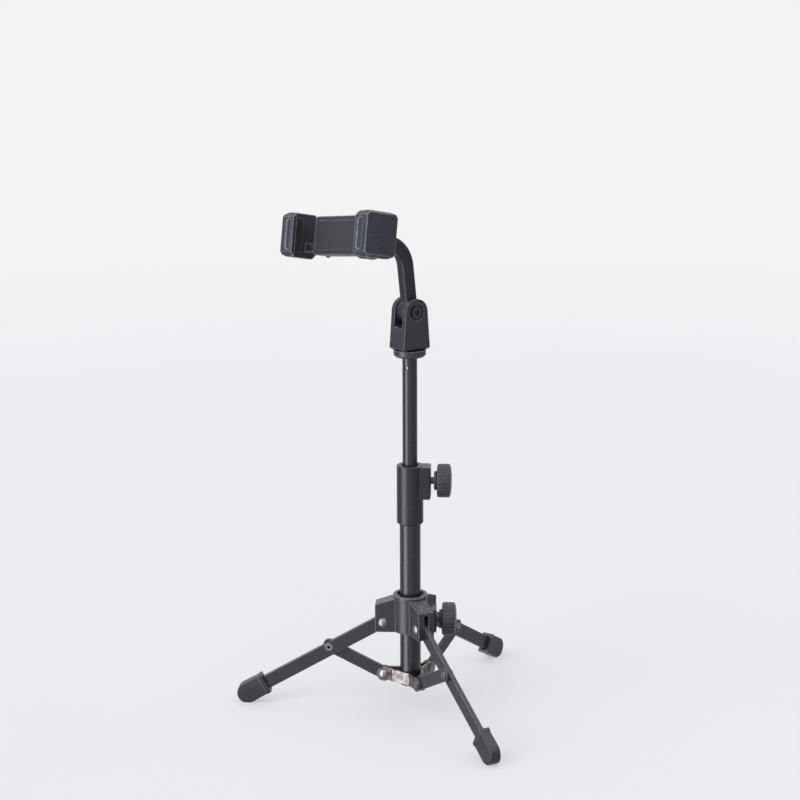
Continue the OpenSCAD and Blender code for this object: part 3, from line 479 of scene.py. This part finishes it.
def make_knob(name, near_face, height):
    """Grip knob on the X axis: grooved drum with rounded rims, a low crown and a neck flange.

    The screw bore is not cut.
    """
    radius, width, flange = 11.75 * MM, 9.0 * MM, 2.2 * MM
    facet, grooves_every = 5, 3
    knob = start("cylinder", vertices=72, radius=radius, depth=width, rotation=(0, math.pi / 2, 0))
    rim = width / 2 - 0.00001
    pick_edges(knob, lambda a, b: min(abs(a.x), abs(b.x)) > rim and a.x * b.x > 0)
    bpy.ops.mesh.bevel(offset=1.1 * MM, segments=3)
    pick_faces(knob, lambda centre, normal: normal.x > 0.99)
    for border, rise in ((1.0, 0.45), (2.2, 0.4), (2.6, 0.2)):
        bpy.ops.mesh.inset(thickness=border * MM, depth=rise * MM)

    def is_groove(centre, normal):
        around = math.degrees(math.atan2(centre.z, centre.y)) % 360
        return abs(normal.x) < 0.01 and round(around / facet - 0.5) % grooves_every == 0

    pick_faces(knob, is_groove)
    bpy.ops.mesh.inset(thickness=0.1 * MM, depth=-0.5 * MM, use_individual=True)
    set_down(knob, Matrix.Translation((near_face + flange + width / 2, 0, height)))
    neck = start("cylinder", vertices=48, radius=6.7 * MM, depth=flange,
                 location=(near_face + flange / 2, 0, height), rotation=(0, math.pi / 2, 0))
    soften(neck, 0.5 * MM, segments=2)
    join(knob, neck)
    hand_over(knob, name + "_grip", name, GRIP_MOULDING, "moulded_black", name)


for side, azimuth in (("left", 180), ("front", 300), ("rear", 60)):
    make_foot(side, azimuth)
make_arm()
make_knob("hub_knob", 20.5 * MM, 64.914 * MM)
make_knob("height_knob", 16.9 * MM, 166.4 * MM)


# ---------------------------------------------------------------- stage, light and camera

def make_floor():
    """Round pale floor, partly self-lit for faint shadows, that fades into the air round it."""
    bpy.ops.object.select_all(action="DESELECT")
    bpy.ops.mesh.primitive_circle_add(vertices=128, radius=3.0, fill_type="NGON", location=(0, 0, 0))
    floor = bpy.context.object
    floor.name = "studio_floor"
    material, tree, surface = start_material("Pale studio paper")
    place = add(tree, "TexCoord").outputs["Object"]
    cloud = spread(tree, noise(tree, place, 3.0, 3.0), 0.3, 0.7)
    paper = mix_colour(tree, cloud, (0.285, 0.285, 0.297, 1), (0.295, 0.295, 0.305, 1))
    link(tree, paper, surface.inputs["Base Color"])
    surface.inputs["Emission Color"].default_value = (0.98, 0.975, 1.0, 1.0)
    surface.inputs["Emission Strength"].default_value = 0.44
    surface.inputs["Roughness"].default_value = 0.8
    surface.inputs["Specular IOR Level"].default_value = 0.1
    away = add(tree, "VectorMath", operation="LENGTH")
    link(tree, place, away.inputs[0])
    fade = spread(tree, away.outputs["Value"], 0.3, 2.9)
    fade.node.interpolation_type = "SMOOTHERSTEP"
    clear = add(tree, "BsdfTransparent")
    both = add(tree, "MixShader")
    link(tree, fade, both.inputs["Fac"])
    link(tree, surface.outputs["BSDF"], both.inputs[1])
    link(tree, clear.outputs["BSDF"], both.inputs[2])
    link(tree, both.outputs["Shader"], tree.nodes["Material Output"].inputs["Surface"])
    floor.data.materials.append(material)
    floor.visible_glossy = False


def make_sun(name, toward, spread_degrees, strength, colour):
    """A soft light from far away, so that the floor is lit evenly."""
    light = bpy.data.lights.new(name, "SUN")
    light.energy = strength
    light.angle = math.radians(spread_degrees)
    light.color = colour
    lamp = bpy.data.objects.new(name, light)
    bpy.context.collection.objects.link(lamp)
    lamp.matrix_world = Vector(toward).to_track_quat("Z", "Y").to_matrix().to_4x4()


def make_light():
    """Soft daylight from the upper left, one bright strip at the left front, pale air all round."""
    make_sun("left_window", (-1.0, -0.55, 0.75), 50, 0.6, (1.0, 0.99, 0.985))
    make_sun("top_panel", (-0.1, -0.35, 1.0), 100, 0.4, (0.99, 0.99, 1.0))
    world = bpy.data.worlds.new("Studio air")
    world.use_nodes = True
    tree = world.node_tree
    backing = tree.nodes["Background"]
    toward = add(tree, "TexCoord").outputs["Generated"]
    parts = add(tree, "SeparateXYZ")
    link(tree, toward, parts.inputs[0])
    level = add(tree, "VectorMath", operation="MULTIPLY")
    link(tree, toward, level.inputs[0])
    level.inputs[1].default_value = (1.0, 1.0, 0.3)
    even = add(tree, "VectorMath", operation="NORMALIZE")
    link(tree, level.outputs["Vector"], even.inputs[0])
    beside = add(tree, "VectorMath", operation="DOT_PRODUCT")
    link(tree, even.outputs["Vector"], beside.inputs[0])
    beside.inputs[1].default_value = (-0.777, -0.629, 0.0)
    strip = spread(tree, beside.outputs["Value"], 0.90, 0.985)
    behind = spread(tree, parts.outputs["Y"], 0.6, 1.0)
    before = spread(tree, parts.outputs["Y"], -0.75, -1.0)
    above = spread(tree, parts.outputs["Z"], 0.2, 0.85)
    sides = mix_colour(tree, behind, (0.40, 0.42, 0.48, 1), (0.95, 0.95, 0.98, 1))
    around = mix_colour(tree, before, sides, (0.80, 0.81, 0.86, 1))
    banded = mix_colour(tree, strip, around, (4.6, 4.6, 4.7, 1))
    unseen = mix_colour(tree, above, banded, (1.25, 1.26, 1.30, 1))
    path = add(tree, "LightPath")
    link(tree, mix_colour(tree, path.outputs["Is Camera Ray"], unseen, (0.90, 0.90, 0.915, 1)),
         backing.inputs["Color"])
    bpy.context.scene.world = world


def make_camera():
    """Camera in front of the stand and a little above it, looking down at it."""
    lens = bpy.data.cameras.new("view_camera")
    lens.sensor_width = 36.0
    lens.lens = 83.8433
    lens.clip_start = 0.05
    lens.clip_end = 40.0
    camera = bpy.data.objects.new("view_camera", lens)
    bpy.context.collection.objects.link(camera)
    ahead = Vector((-0.06086903, 0.97402044, -0.21812645)).normalized()
    level = ahead.cross(Vector((0, 0, 1))).normalized()
    upright = level.cross(ahead)
    roll = -0.0036454
    right = math.cos(roll) * level + math.sin(roll) * upright
    up = math.cos(roll) * upright - math.sin(roll) * level
    turn = Matrix((right, up, -ahead)).transposed().to_4x4()
    camera.matrix_world = Matrix.Translation((0.07180467, -1.25831018, 0.50560085)) @ turn
    bpy.context.scene.camera = camera


make_floor()
make_light()
make_camera()
bpy.context.scene.view_settings.view_transform = "Standard"
bpy.context.scene.view_settings.look = "None"
